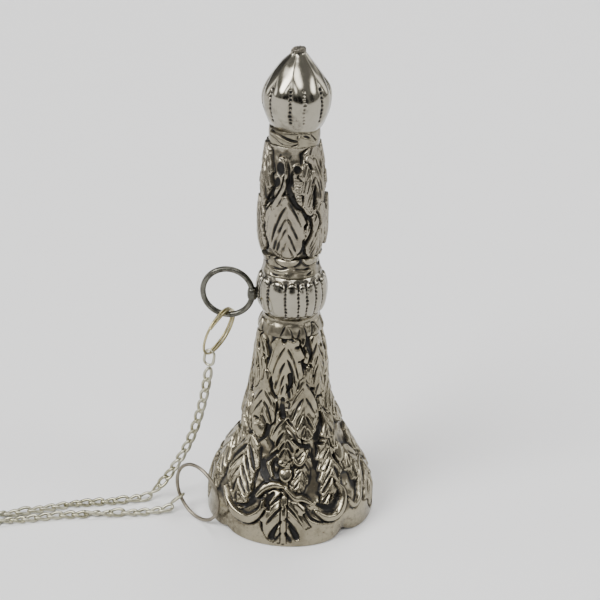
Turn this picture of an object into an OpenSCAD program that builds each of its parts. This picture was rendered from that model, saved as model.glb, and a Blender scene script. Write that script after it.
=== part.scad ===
// Small hand bell with a slender stacked handle, a bail ring, a split ring and a chain that ends in a finger ring.
// The bell stands on its mouth. Origin: on the bell's axis, at the plane that the mouth rests on. +Z up.
// Lengths are in millimetres. -Y is the front.

/* [Bell shell] */
// Outer radius of the mouth
mouth_r = 25; // [24:0.5:26]
// Height of the bell shell, from the mouth to its flat crown
shell_h = 60; // [59.8:0.1:60.2]
// Thickness of the cast wall
wall = 1.3; // [1:0.1:1.6]
// How far the mouth's edge draws in between two lobes
lobe_depth = 1; // [0.2:0.1:1.4]

/* [Handle] */
// Radius of the threaded rod that clamps the stack
rod_r = 1.6; // [1.4:0.1:1.8]
// Largest radius of the gadrooned knop
knop_r = 10; // [9.6:0.1:10.4]
// Largest radius of the baluster stem
stem_r = 9.4; // [9:0.1:9.8]
// Largest radius of the finial bud
finial_r = 9.2; // [8.8:0.1:9.8]

/* [Clapper] */
// Height of the pin-like eye that the clapper hangs from
pivot_z = 47.6; // [46.6:0.2:47.8]
// Radius of the clapper's bob
bob_r = 4.4; // [3.8:0.1:4.6]
// Height of the bob's centre
bob_z = 10; // [9:0.5:12]

/* [Rings] */
// Radius of the bail ring, to the middle of its wire
bail_r = 7.1; // [6.9:0.1:7.3]
// Radius of the bail ring's wire
bail_wire = 0.85; // [0.8:0.05:0.9]
// Direction in which the bail ring points, turned back from -X
bail_yaw = 6; // [4:1:8]
// Radius of the split ring, to the middle of its wire
split_r = 7.3; // [7.2:0.1:7.4]
// Radius of the split ring's wire
split_wire = 0.38; // [0.3:0.02:0.4]
// Radius of the finger ring, to the middle of its wire
finger_r = 8.8; // [8.7:0.1:8.9]
// Radius of the finger ring's wire
finger_wire = 0.55; // [0.5:0.05:0.6]

/* [Chain] */
// Width of the chain's links
chain_w = 3.2; // [3:0.1:3.3]

/* [Hidden] */
$fn = 96;

gap = 0.12;              // running clearance between loose pieces
lobes = 4;               // lobes of the mouth
lobe_turn = -4;          // the front lobe's turn from -Y
lobe_rise = 2.2;         // height of the notches between the lobes

// Heights of the joints between the stacked pieces
band_z = shell_h;
knop_z = 64.6;
pinch_z = 78.2;
stem_z = 83.4;
collar_z = 116;
finial_z = 120.2;
tip_z = 142;

silver = [0.78, 0.77, 0.74];
dark_steel = [0.33, 0.34, 0.33];
pale_brass = [0.74, 0.68, 0.52];

// Points on an arc of a circle about c, from angle a0 to a1, in n steps
function arc(c, r, a0, a1, n) = [for (i = [0 : n]) c + r * [cos(a0 + (a1 - a0) * i / n), sin(a0 + (a1 - a0) * i / n)]];

// Vector helpers
function unit(v) = v / norm(v);
// A point on the spline through p0..p3 between p1 and p2
function spline(p0, p1, p2, p3, t) =
    0.5 * (2 * p1 + (p2 - p0) * t + (2 * p0 - 5 * p1 + 4 * p2 - p3) * t * t + (3 * p1 - p0 - 3 * p2 + p3) * t * t * t);
// The spline through all of pts, with n steps between two of them
function smooth(pts, n) = concat(
    [for (i = [0 : len(pts) - 2], k = [0 : n - 1])
        spline(pts[max(i - 1, 0)], pts[i], pts[i + 1], pts[min(i + 2, len(pts) - 1)], k / n)],
    [pts[len(pts) - 1]]);
// The direction of path at its point i
function along(path, i) = unit(path[min(i + 1, len(path) - 1)] - path[max(i - 1, 0)]);
// A direction across t that turns as little as it can
function across(t, lean) = unit(lean - (lean * t) * t);

// A closed tube of radius r along path, with sides that never twist. lean is a direction never along the path.
module tube(path, r, sides, leans) {
    n = len(path);
    rings = [for (i = [0 : n - 1])
        let (t = along(path, i), u = across(t, leans[i]), v = cross(t, u))
        for (k = [0 : sides - 1]) path[i] + r * (cos(360 * k / sides) * u + sin(360 * k / sides) * v)];
    walls = [for (i = [0 : n - 2], k = [0 : sides - 1])
        [i * sides + k, i * sides + (k + 1) % sides, (i + 1) * sides + (k + 1) % sides, (i + 1) * sides + k]];
    first = [for (k = [0 : sides - 1]) sides - 1 - k];
    last = [for (k = [0 : sides - 1]) (n - 1) * sides + k];
    polyhedron(rings, concat([first], walls, [last]), convexity = 8);
}

// A round wire ring in the XZ plane
module wire_ring(r, wire) {
    rotate([90, 0, 0]) rotate_extrude() translate([r, 0]) circle(wire, $fn = 24);
}

// An oval wire link in the XZ plane, long along Z. half is half the length of its straight sides
module oval_link(r, half, wire) {
    for (s = [-1, 1]) {
        translate([0, 0, s * half]) rotate([90, 0, 0])
            rotate(s > 0 ? 0 : 180) rotate_extrude(angle = 180) translate([r, 0]) circle(wire, $fn = 24);
        translate([s * r, 0, -half]) cylinder(2 * half, r = wire, $fn = 24);
    }
}

// Outline of the shell's outer wall, from the mouth to the crown
shell_outer = [[mouth_r, 0], [24.7, 4], [23.9, 9], [22.4, 14.5], [21, 18], [19.2, 21.5], [17, 25], [14.8, 28],
               [13.2, 31], [11.9, 35], [11.2, 40], [10.8, 46], [10.2, 52], [9.4, 58], [9.2, shell_h]];

// The cast bell: a flared cone, hollow and open below, with four shallow lobes at its mouth
module bell_shell() {
    inner = [for (p = shell_outer) if (p[1] < shell_h - 4) [p[0] - wall, p[1]]];
    n = len(inner);
    crown = shell_h - 3.2;
    color(silver) difference() {
        rotate_extrude() polygon(concat([[0, 0]], shell_outer, [[0, shell_h]]));
        rotate_extrude() polygon(concat([[0, -1], [inner[0][0], -1]], inner,
                                        [[inner[n - 1][0] - 0.6, crown], [0, crown]]));
        translate([0, 0, crown - 1]) cylinder(6, r = rod_r + gap);
        for (i = [0 : lobes - 1]) rotate(lobe_turn - 90 + (i + 0.5) * 360 / lobes)
            translate([mouth_r + 4 - lobe_depth, 0, -1]) cylinder(lobe_rise + 1, r = 4);
    }
}

// A plain turned shoulder between the shell and the knop
module neck_band() {
    color(silver) rotate_extrude() polygon(concat([[rod_r + gap, band_z]],
        [for (p = [[9.2, 0], [8.95, 0.9], [8.55, 1.9], [8.15, 2.9], [7.85, 3.8], [7.75, knop_z - band_z]])
            [p[0], band_z + p[1]]],
        [[rod_r + gap, knop_z]]));
}

// The gadrooned knop, bored for the rod and drilled at its side for the ring eye's stem
module knop() {
    mid = (knop_z + pinch_z) / 2;
    half = (pinch_z - knop_z) / 2;
    color(silver) difference() {
        rotate_extrude() polygon(concat([[rod_r + gap, knop_z]],
            [for (a = [-75 : 15 : 75]) [7.4 + (knop_r - 7.4) * pow(cos(a), 0.9), mid + half * sin(a) / sin(75)]],
            [[rod_r + gap, pinch_z]]));
        eye_place() translate([0, 0, -eye_stem - 0.5]) cylinder(eye_stem + 1.5, r = eye_stem_r, $fn = 32);
    }
}

// A concave collar between the knop and the stem
module pinch_collar() {
    color(silver) rotate_extrude() polygon(concat([[rod_r + gap, pinch_z], [8.2, pinch_z]],
        arc([9.3, (pinch_z + stem_z) / 2], 2.2, 225, 135, 8), [[8, stem_z], [rod_r + gap, stem_z]]));
}

// The baluster stem, widest in its lower half
module stem() {
    h = collar_z - stem_z;
    color(silver) rotate_extrude() polygon(concat([[rod_r + gap, stem_z]],
        [for (p = [[7.9, 0], [8.8, 2.6], [9.3, 6], [stem_r, 10], [9.2, 15], [8.9, 20], [8.4, 25], [7.8, 29], [7.4, h]])
            [p[0], stem_z + p[1]]],
        [[rod_r + gap, collar_z]]));
}

// A smooth rolled ring under the finial
module finial_collar() {
    color(silver) rotate_extrude() polygon(concat([[rod_r + gap, collar_z], [6.8, collar_z]],
        arc([6, (collar_z + finial_z) / 2], 1.5, -60, 60, 8), [[6.6, finial_z], [rod_r + gap, finial_z]]));
}

// The onion-shaped finial, drilled blind from below for the rod's thread
module finial() {
    h = tip_z - finial_z;
    color(silver) rotate_extrude() polygon(concat([[0, rod_top], [rod_r, rod_top], [rod_r, finial_z]],
        [for (p = [[6.8, 0], [7.6, 1.6], [8.6, 4], [9, 6], [finial_r, 8.2], [9, 10.4], [8.3, 12.4], [6.8, 14.8],
                   [4.9, 17.2], [3.2, 19], [2, 20.2], [1.6, 20.9], [0.9, h]]) [p[0], finial_z + p[1]]],
        [[0, tip_z]]));
}

// The threaded rod that draws the finial, stem, knop and shell together
rod_bottom = 52.2;
rod_top = 131;
module tie_rod() {
    color(dark_steel) translate([0, 0, rod_bottom]) cylinder(rod_top - rod_bottom, r = rod_r);
}

washer_t = 0.8;
nut_t = 2.6;
washer_z = shell_h - 3.2 - washer_t;
module crown_washer() {
    color(dark_steel) translate([0, 0, washer_z]) difference() {
        cylinder(washer_t, r = 4.2);
        translate([0, 0, -1]) cylinder(washer_t + 2, r = rod_r + gap);
    }
}

module crown_nut() {
    color(dark_steel) translate([0, 0, washer_z - nut_t]) difference() {
        cylinder(nut_t, r = 3.3, $fn = 6);
        translate([0, 0, -1]) cylinder(nut_t + 2, r = rod_r);
    }
}

// The eye at the rod's lower end that the clapper's link hangs in. Its hole runs along X
eye_r = 1.6;
eye_wire = 0.5;
module clapper_staple() {
    color(dark_steel) {
        translate([0, 0, pivot_z + eye_r]) rotate(90) wire_ring(eye_r, eye_wire);
        translate([0, 0, pivot_z + 2 * eye_r]) cylinder(rod_bottom - pivot_z - 2 * eye_r, r = 0.9);
    }
}

// A small oval link between the staple and the clapper. It swings about Y in the staple
link_r = 1.75;
link_wire = 0.5;
link_half = 0.6;
link_top = pivot_z + eye_wire + link_wire + gap;
link_z = link_top - link_r - link_half;
module clapper_link() {
    color(dark_steel) translate([0, 0, link_z]) oval_link(link_r, link_half, link_wire);
}

// The clapper's rod, with its own eye at the top. It swings about X on the link
shank_z = link_z - link_half - link_r;
shank_eye_r = 1.6;
shank_r = 0.9;
module clapper_shank() {
    top = shank_z + link_wire + 0.5 + gap;
    color(dark_steel) {
        translate([0, 0, top - shank_eye_r]) rotate(90) wire_ring(shank_eye_r, 0.5);
        translate([0, 0, bob_z + bob_r - 0.8])
            cylinder(top - 2 * shank_eye_r - bob_z - bob_r + 0.8, r = shank_r);
    }
}

module clapper_bob() {
    color(dark_steel) translate([0, 0, bob_z]) {
        difference() {
            sphere(bob_r);
            translate([0, 0, bob_r - 0.8]) cylinder(2, r = shank_r);
        }
        translate([0, 0, -bob_r - 0.6]) cylinder(1.2, r = 1.3);
    }
}

// The eye on the knop's side: a bead with an upright hole, on a short stem set in the knop
eye_turn = 187;          // direction of the eye about the axis
eye_reach = 11.65;        // distance of the bead's hole from the axis
eye_z = 70.2;
eye_stem = 3;
eye_stem_r = 0.8;
bead_r = 1.55;
bead_h = 3.4;
eye_pos = [eye_reach * cos(eye_turn), eye_reach * sin(eye_turn), eye_z];

// Z along the eye's stem, outwards, from the knop's surface
module eye_place() {
    rotate(eye_turn) translate([knop_r - 0.2, 0, eye_z]) rotate([0, 90, 0]) children();
}

module ring_eye() {
    throat = bail_wire + 0.07;
    // Half of the bead's section: its throat, its flared mouth and its round outside
    bead_side = [[bead_r, 0.5], [bead_r - 0.06, 1.1], [bead_r - 0.14, bead_h / 2 - 0.1], [bead_r - 0.2, bead_h / 2],
                 [throat + 0.36, bead_h / 2], [throat, 0.3]];
    color(dark_steel) {
        difference() {
            eye_place() translate([0, 0, -eye_stem]) cylinder(eye_stem + 0.6, r = eye_stem_r, $fn = 32);
            translate([eye_pos[0], eye_pos[1], eye_z - 2]) cylinder(4, r = throat + 0.3);
        }
        translate(eye_pos) rotate_extrude() polygon([for (s = [-1, 1], p = s < 0 ? bead_side : [for (i = [5 : -1 : 0])
            bead_side[i]]) [p[0], s * p[1]]]);
    }
}

// The bail ring runs through the bead and turns about the hole's upright axis
bail_dir = [-cos(bail_yaw), sin(bail_yaw), 0];
bail_c = eye_pos + bail_r * bail_dir;
module bail_ring() {
    color(dark_steel) translate(bail_c) rotate(-bail_yaw) wire_ring(bail_r, bail_wire);
}

// The split ring: one and a half turns of thin wire, hanging in the bail ring and drawn aside by the chain.
// split_up points from its middle to where it rests in the bail ring, split_side to its far side
split_up = unit([0.35, 0.08, 0.93]);
split_side = across(split_up, [0.4, 0.885, -0.226]);
split_axis = cross(split_up, split_side);
split_gap = 0.35;        // both strands lie in the bail ring, so they need more room than a single wire
split_hang = bail_c - [0, 0, bail_r - bail_wire - split_wire - split_gap];
split_c = split_hang - split_r * split_up;
split_lay = 2 * split_wire + 0.06;
split_from = -70;
split_to = 525;
module split_ring() {
    steps = 70;
    path = [for (i = [0 : steps]) let (a = split_from + (split_to - split_from) * i / steps)
        split_c + split_r * (cos(a) * split_up + sin(a) * split_side) + (a / 360 - 0.5) * split_lay * split_axis];
    color(pale_brass) tube(path, split_wire, 8, [for (p = path) split_axis]);
}

// The connector hangs in the split ring's lowest point
connector_r = 1.5;
connector_half = 0.9;
connector_wire = 0.45;
module chain_connector() {
    drop = connector_half + connector_r - connector_wire - split_wire - gap;
    color(silver) translate(split_c - split_r * split_up) rotate([0, 9, 0]) rotate(-24)
        translate([0, 0, -drop]) oval_link(connector_r, connector_half, connector_wire);
}

// The chain's route, from the connector down to the surface, out, round and back to the finger ring
route = [[-24.3, -0.6, 45], [-24.9, -0.4, 41], [-25.8, -0.2, 36], [-27.2, 0, 30], [-29, 0, 24], [-31.4, 0, 18],
         [-34.6, 0, 12], [-38.2, -0.2, 6.6], [-42.5, -0.8, 3], [-49, -2.6, 1.7], [-57, -4, 1.6], [-65, -5.4, 1.6],
         [-73, -7.9, 1.6], [-80, -10.2, 1.6], [-87, -11.8, 1.6], [-94, -11, 1.6], [-100, -8.8, 1.6],
         [-107, -8.2, 1.6], [-112.5, -11.8, 1.6], [-113, -17.8, 1.6], [-108.5, -21.6, 1.6], [-102, -21.4, 1.6],
         [-95, -18.2, 1.6], [-87, -15.7, 1.6], [-78, -13.9, 1.6], [-69, -11.8, 1.6], [-59, -10.6, 1.6],
         [-49, -9.8, 1.6], [-42, -8.8, 1.8], [-38, -7.8, 2.2],
         [-35.7, -7, 2.9]];
module chain() {
    path = smooth(route, 2);
    // Every ring of the tube leans upwards, except where the chain itself hangs: there it leans to the front
    color(silver) tube(path, chain_w / 2, 8, [for (p = path) p[2] > 8 ? [0, -1, 0.3] : [0, -0.6, 1]]);
}

// The last link, hooked through the finger ring, which stands on edge beside the bell
finger_turn = -43;       // direction of the finger ring's plane
finger_c = [-27.3, -10.8, finger_r + finger_wire];
hook_angle = 212;        // where the link holds the ring, from its end beside the bell, turning upwards
hook = finger_c + finger_r * [cos(hook_angle) * cos(finger_turn), cos(hook_angle) * sin(finger_turn), sin(hook_angle)];
end_r = 1.45;
end_half = 0.8;
end_wire = 0.4;
module chain_end_link() {
    drop = end_half + end_r - end_wire - finger_wire - 0.2;
    color(silver) translate(hook) rotate([0, 61, 24]) rotate(60)
        translate([0, 0, -drop]) oval_link(end_r, end_half, end_wire);
}

module finger_ring() {
    color(dark_steel) translate(finger_c) rotate(finger_turn) wire_ring(finger_r, finger_wire);
}

bell_shell();
neck_band();
knop();
pinch_collar();
stem();
finial_collar();
finial();
tie_rod();
crown_washer();
crown_nut();
clapper_staple();
clapper_link();
clapper_shank();
clapper_bob();
ring_eye();
bail_ring();
split_ring();
chain_connector();
chain();
chain_end_link();
finger_ring();
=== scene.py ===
"""The looks of a small leaf-relief hand bell with a bail ring, a split ring and a chain to a finger ring.

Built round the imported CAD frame, +Z up, -Y the front, and worked out in millimetres. Relief is real geometry:
each cast piece is a grid wrapped round the bell's axis and pushed out by a height field that small stamps add
up. A place on a piece is (turn from the front in degrees, height), positive turns going to the right.
"""

import math

import bmesh
import bpy
import numpy as np
from mathutils import Matrix, Vector


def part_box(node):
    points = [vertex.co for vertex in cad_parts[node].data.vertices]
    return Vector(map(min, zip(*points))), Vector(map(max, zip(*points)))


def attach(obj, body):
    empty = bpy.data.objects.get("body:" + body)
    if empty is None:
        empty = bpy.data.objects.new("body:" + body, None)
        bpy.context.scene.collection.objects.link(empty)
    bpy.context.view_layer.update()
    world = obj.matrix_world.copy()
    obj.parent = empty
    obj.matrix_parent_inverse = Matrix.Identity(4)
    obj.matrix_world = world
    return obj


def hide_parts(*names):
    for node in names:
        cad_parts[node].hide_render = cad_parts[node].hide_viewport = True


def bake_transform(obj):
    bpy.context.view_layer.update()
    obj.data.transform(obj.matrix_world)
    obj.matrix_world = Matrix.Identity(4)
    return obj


MM = 0.001
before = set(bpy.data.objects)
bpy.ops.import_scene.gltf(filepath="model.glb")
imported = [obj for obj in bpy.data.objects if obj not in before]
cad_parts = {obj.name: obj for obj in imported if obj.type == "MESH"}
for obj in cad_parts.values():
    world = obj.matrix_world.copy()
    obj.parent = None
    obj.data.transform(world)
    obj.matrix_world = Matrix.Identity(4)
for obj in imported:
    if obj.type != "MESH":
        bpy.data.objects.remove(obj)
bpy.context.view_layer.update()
scene = bpy.context.scene
rng = np.random.default_rng(7)
UP = np.array([0, 0, 1.0])


def level(node):
    """The height of a node's top in the CAD."""
    return round(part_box(node)[1][2] / MM, 3)


# The tops of the stacked pieces, where the next one begins
STACK = ("bell_shell", "neck_band", "knop", "pinch_collar", "stem", "finial_collar", "finial")
CROWN, SHOULDER, KNOP_TOP, WAIST, STEM_TOP, BUD_FOOT, TIP = (level(node) for node in STACK)
BORE = 1.72


# --- Camera ---------------------------------------------------------------------------------------


def make_camera():
    """Looks down on the bell from the front, a little over its height, with a slight roll."""
    place = (0.002, -0.399, 0.258)
    pitch, roll = math.radians(25.5), math.radians(1.0)
    look = Vector((0, math.cos(pitch), -math.sin(pitch)))
    sideways = Vector((1, 0, 0))
    upright = sideways.cross(look)
    right = math.cos(roll) * sideways + math.sin(roll) * upright
    up = -math.sin(roll) * sideways + math.cos(roll) * upright
    data = bpy.data.cameras.new("camera")
    data.lens, data.sensor_width = 92.9, 36
    data.clip_start, data.clip_end = 0.01, 20
    camera = bpy.data.objects.new("camera", data)
    scene.collection.objects.link(camera)
    camera.matrix_world = Matrix.Translation(place) @ Matrix((right, up, -look)).transposed().to_4x4()
    scene.camera = camera


make_camera()


# --- Mesh helpers ---------------------------------------------------------------------------------


def smoothstep(low, high, x):
    t = np.clip((x - low) / (high - low), 0, 1)
    return t * t * (3 - 2 * t)


def unit(v):
    """Vectors of length 1, along the last axis."""
    return v / np.linalg.norm(v, axis=-1, keepdims=True)


def make_piece(name, points, faces, body, finish, node, **attributes):
    """A smooth-shaded piece that rides on a body and stands for a CAD node.

    finish is a slot and a material: the piece takes the material, and the slot is not used. Each attribute
    holds one number for each point.
    """
    mesh = bpy.data.meshes.new(name)
    points = np.asarray(points, float).reshape(-1, 3) * MM
    mesh.vertices.add(len(points))
    mesh.vertices.foreach_set("co", points.astype(np.float32).ravel())
    mesh.loops.add(faces.size)
    mesh.loops.foreach_set("vertex_index", faces.astype(np.int32).ravel())
    mesh.polygons.add(len(faces))
    mesh.polygons.foreach_set("loop_start", np.arange(0, faces.size, faces.shape[1], dtype=np.int32))
    mesh.polygons.foreach_set("use_smooth", np.ones(len(faces), bool))
    mesh.update(calc_edges=True)
    mesh.validate()
    for key, values in attributes.items():
        layer = mesh.attributes.new(key, "FLOAT", "POINT")
        layer.data.foreach_set("value", np.asarray(values, np.float32).ravel())
    slot, material = finish
    mesh.materials.append(material)
    piece = bpy.data.objects.new(name, mesh)
    scene.collection.objects.link(piece)
    if body:
        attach(piece, body)
    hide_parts(node)
    return piece


def turned_piece(name, rings, body, finish, node, **attributes):
    """A piece from rings of points, from the top down. Rings shrunk to a point are welded there."""
    piece = make_piece(name, rings, grid_faces(*rings.shape[:2])[:, ::-1], body, finish, node, **attributes)
    mesh = bmesh.new()
    mesh.from_mesh(piece.data)
    bmesh.ops.remove_doubles(mesh, verts=mesh.verts, dist=1e-7)
    mesh.to_mesh(piece.data)
    mesh.free()
    piece.data.update()


def grid_faces(rows, cols, wrap_rows=False):
    """Quads of a grid of rows x cols points, closed round its columns, and its rows where asked."""
    r, c = np.meshgrid(np.arange(rows if wrap_rows else rows - 1), np.arange(cols), indexing="ij")
    r2, c2 = (r + 1) % rows, (c + 1) % cols
    return np.stack([r * cols + c, r * cols + c2, r2 * cols + c2, r2 * cols + c], -1).reshape(-1, 4)


def closed_grid(*blocks):
    """One closed mesh from blocks of rings of equal point counts, in order and back to the first ring."""
    points = np.concatenate(blocks)
    return points.reshape(-1, 3), grid_faces(*points.shape[:2], wrap_rows=True)


def ring_rows(profile, phi):
    """Plain rings at (radius, height), with a point at each turn of phi."""
    a = np.radians(phi)[None, :]
    r, z = np.asarray(profile, float).T[:, :, None]
    return np.stack([r * np.sin(a), -r * np.cos(a), z + 0 * a], -1)


def turns_round(count):
    return np.linspace(-180, 180, count, endpoint=False)


def spline(points, steps):
    """The Catmull-Rom line through points, with steps pieces between two of them."""
    p = np.asarray(points, float)
    out = []
    for i in range(len(p) - 1):
        a, b, c, d = p[max(i - 1, 0)], p[i], p[i + 1], p[min(i + 2, len(p) - 1)]
        for t in np.arange(steps) / steps:
            bend = (2 * a - 5 * b + 4 * c - d) * t**2 + (3 * b - a - 3 * c + d) * t**3
            out.append(0.5 * (2 * b + (c - a) * t + bend))
    return np.array(out + [p[-1]])


def resample(path, count):
    """count points at equal steps along path, the distance of each, and its whole length."""
    path = np.asarray(path, float)
    steps = np.r_[0, np.cumsum(np.linalg.norm(np.diff(path, axis=0), axis=1))]
    at = np.linspace(0, steps[-1], count)
    return np.stack([np.interp(at, steps, column) for column in path.T], 1), at, steps[-1]


def triangles(quads):
    return np.concatenate([quads[:, [0, 1, 2]], quads[:, [0, 2, 3]]])


def joined(*meshes):
    """Several meshes of points and triangles as one."""
    starts = np.cumsum([0] + [len(points) for points, _ in meshes])
    faces = [faces + start for (_, faces), start in zip(meshes, starts)]
    return np.concatenate([points for points, _ in meshes]), np.concatenate(faces)


def wire_mesh(path, radius, sides=16, closed=False):
    """Points and triangles of a round wire, its open ends rounded off. radius may change along the path."""
    path = np.asarray(path, float)
    count = len(path)
    radius = np.broadcast_to(np.asarray(radius, float), (count,)).copy()
    along = unit(np.roll(path, -1, 0) - np.roll(path, 1, 0) if closed else np.gradient(path, axis=0))
    lean = np.cross(along[0], [0.3, 0.5, 0.81])
    leans = []
    for a in along:
        lean = unit(lean - (lean @ a) * a)
        leans.append(lean)
    leans = np.array(leans)
    if closed:
        # The frame comes back turned by a little, which is shared out along the ring
        back = unit(leans[-1] - (leans[-1] @ along[0]) * along[0])
        slip = math.atan2(np.cross(back, leans[0]) @ along[0], back @ leans[0])
        turn = (slip * np.arange(count) / count)[:, None]
        leans = np.cos(turn) * leans + np.sin(turn) * np.cross(along, leans)
    else:
        # Two more rings at each end round it off
        ends = path[:1] - along[:1] * radius[0] * 0.6, path[-1:] + along[-1:] * radius[-1] * 0.6
        path = np.concatenate([ends[0], path, ends[1]])
        along, leans = (np.concatenate([v[:1], v, v[-1:]]) for v in (along, leans))
        radius = np.r_[radius[0] * 0.45, radius, radius[-1] * 0.45]
        count += 2
    a = np.linspace(0, 2 * np.pi, sides, endpoint=False)[None, :, None]
    ring = np.cos(a) * leans[:, None] + np.sin(a) * np.cross(along, leans)[:, None]
    points = (path[:, None] + radius[:, None, None] * ring).reshape(-1, 3)
    faces = triangles(grid_faces(count, sides, wrap_rows=closed))
    if closed:
        return points, faces
    k = np.arange(sides)
    k2, base, tip = (k + 1) % sides, (count - 1) * sides, np.full(sides, len(points))
    caps = [np.stack([k2, k, tip], 1), np.stack([base + k, base + k2, tip + 1], 1)]
    tips = np.stack([path[0] - along[0] * radius[0] * 0.3, path[-1] + along[-1] * radius[-1] * 0.3])
    return np.concatenate([points, tips]), np.concatenate([faces, *caps])


def wire_piece(name, path, radius, body, finish, node, sides=16, closed=False):
    points, faces = wire_mesh(path, radius, sides, closed)
    return make_piece(name, points, faces, body, finish, node, tone=np.full(len(points), 0.5))


# --- Relief ---------------------------------------------------------------------------------------


def blur(field, rows, cols):
    """Soft blur by so many rows and columns. Columns wrap round, rows are mirrored at the ends."""
    pad = min(len(field) - 1, int(4 * rows) + 1)
    full = np.concatenate([field[pad:0:-1], field, field[-2 : -pad - 2 : -1]])
    fr = np.fft.fftfreq(full.shape[0])[:, None]
    fc = np.fft.fftfreq(full.shape[1])[None, :]
    soft = np.exp(-2 * np.pi**2 * ((fr * rows) ** 2 + (fc * cols) ** 2))
    return np.real(np.fft.ifft2(np.fft.fft2(full) * soft))[pad : pad + len(field)]


class Relief:
    """A grid round the axis, from the top of a (radius, height) profile down, with a height field in mm."""

    def __init__(self, profile, cols, rows, seed, halves=(0, 180)):
        line, self.s, self.length = resample(spline(profile, 10), rows)
        self.r, self.z = line[:, 0], line[:, 1]
        d = unit(np.gradient(line, axis=0))
        self.normal = np.stack([-d[:, 1], d[:, 0]], 1)
        self.phi = turns_round(cols)
        self.h = np.zeros((rows, cols))
        # Black oxide in the cuts and hollows, with painted shade there, and painted shadow along the grooves
        # round each shape: 0 to 1
        self.black_oxide_and_shadow = np.zeros((rows, cols))
        self.rng = np.random.default_rng(seed)
        self.halves = halves
        self.cell = np.maximum(self.r, 0.5) * 2 * np.pi / cols
        self.step = self.length / (rows - 1)
        self.uneven = np.clip(0.7 + 0.7 * self.noise(0.8), 0, 1.7)

    def down(self, z):
        """Distance down the profile of a height."""
        return float(np.interp(-z, -self.z, self.s))

    def blurred(self, field, size):
        """A field of the grid, blurred by size mm."""
        return blur(field, size / self.step, size / self.cell.mean())

    def noise(self, size):
        """Smooth noise of about unit height, with lumps of size mm."""
        field = self.blurred(self.rng.normal(size=self.h.shape), size)
        return field / field.std()

    def local(self, turn, s):
        """For each grid point: millimetres to the right of turn, and down from s. turn may be one per row."""
        away = (self.phi[None, :] - np.reshape(turn, (-1, 1)) + 180) % 360 - 180
        return np.radians(away) * self.r[:, None], (self.s[:, None] - s) + 0 * away

    def put(self, height, mask, gap=None, groove=0.0):
        """Lays a shape over what is there. gap is its distance outside, which an uneven groove runs round,
        painted black along it as the shadow of the shape's edge.
        """
        if gap is not None:
            ditch = groove * np.exp(-(((gap - 0.25) / 0.3) ** 2)) * (gap > -0.1) * (1 - mask) * self.uneven
            self.h -= 1.1 * ditch
            # The black along the ditch is a painted shadow of the shape's edge
            self.black_oxide_and_shadow = np.maximum(self.black_oxide_and_shadow, 1.2 * ditch)
        self.h = self.h * (1 - mask) + height * mask
        self.black_oxide_and_shadow = self.black_oxide_and_shadow * (1 - mask)

    def leaf(
        self, top, tip, half, right=None, strokes=6, slope=1.35, reach=0.9, cut=0.5, stroke=0.3, teeth=4,
        serrate=0.2, dome=0.6, rise=-0.1, peak=0.75, blunt=0.55, rib="ridge", first=0.06, bend=0.0,
        lift=0.25, groove=0.42, twist=0.0, fold=0.0,
    ):
        """A hanging leaf from top to tip, with strokes cut on both sides of its rib, down and outwards.

        half and right are its half-widths, peak and blunt its outline. twist tips its right side up, fold
        sinks its middle.
        """
        for turn in self.halves:
            s0, s1 = self.down(top[1]), self.down(tip[1])
            t = (self.s - s0) / (s1 - s0)
            inside = np.clip(t, 0, 1)
            axis = top[0] + (tip[0] - top[0]) * inside + bend * np.sin(np.pi * inside) + turn
            across, down = self.local(axis, s0)
            length = s1 - s0
            rowt = inside[:, None]
            side = across > 0
            pick = side.astype(int)
            phase = self.rng.uniform(0, 1, 2)[pick]
            saw = (teeth * (rowt + 0.06 * np.sin(5 * rowt + 6 * phase)) + phase) % 1
            saw = np.where(saw < 0.8, (saw / 0.8) ** 1.4, (1 - saw) / 0.2)
            body = np.sin(np.pi * rowt**peak) ** blunt
            w = np.where(side, right or half, half) * body * (1 - serrate * (1 - saw))
            a = np.abs(across)
            past = np.maximum(np.maximum(-t, t - 1), 0)[:, None] * length
            d = np.where(past > 0, -np.maximum(a - w, 0) - past, w - a)
            mask = smoothstep(-0.12, 0.14, d)
            f = np.clip(a / np.maximum(w, 0.05), 0, 1)
            height = rise + dome * (1 - f**2.2) * np.sin(np.pi * (0.12 + 0.76 * rowt)) + lift * rowt**2
            height = height + twist * np.clip(across / np.maximum(w, 0.3), -1, 1)
            height = height - fold * np.exp(-((f / 0.35) ** 2))
            # Where each stroke runs, and how deep it is cut
            steep = slope * (0.8 + 1.1 * rowt)
            c = down - steep * a * (1 + 0.16 * (a / half - 0.5))
            gap = length * 0.8 / strokes
            index = np.clip(np.floor((c - first * length) / gap), 0, strokes - 1).astype(int)
            jitter = self.rng.uniform(-0.24, 0.24, (2, strokes))[pick, index]
            wide = self.rng.uniform(0.6, 1.5, (2, strokes))[pick, index]
            far = self.rng.uniform(0.75, 1.12, (2, strokes))[pick, index]
            centre = first * length + (index + 0.5 + jitter) * gap
            off = np.abs(c - centre) / np.sqrt(1 + steep**2)
            run = np.clip((a - 0.12) / np.maximum(reach * far * w - 0.12, 0.3), 0, 1)
            thick = stroke * wide * np.sin(np.pi * run**0.8) ** 0.9 + 1e-4
            cutting = np.clip(1 - (off / thick) ** 2, 0, 1) * (run > 0) * (run < 1)
            height = height - cut * cutting * smoothstep(0.0, 0.5, thick / stroke)
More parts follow.
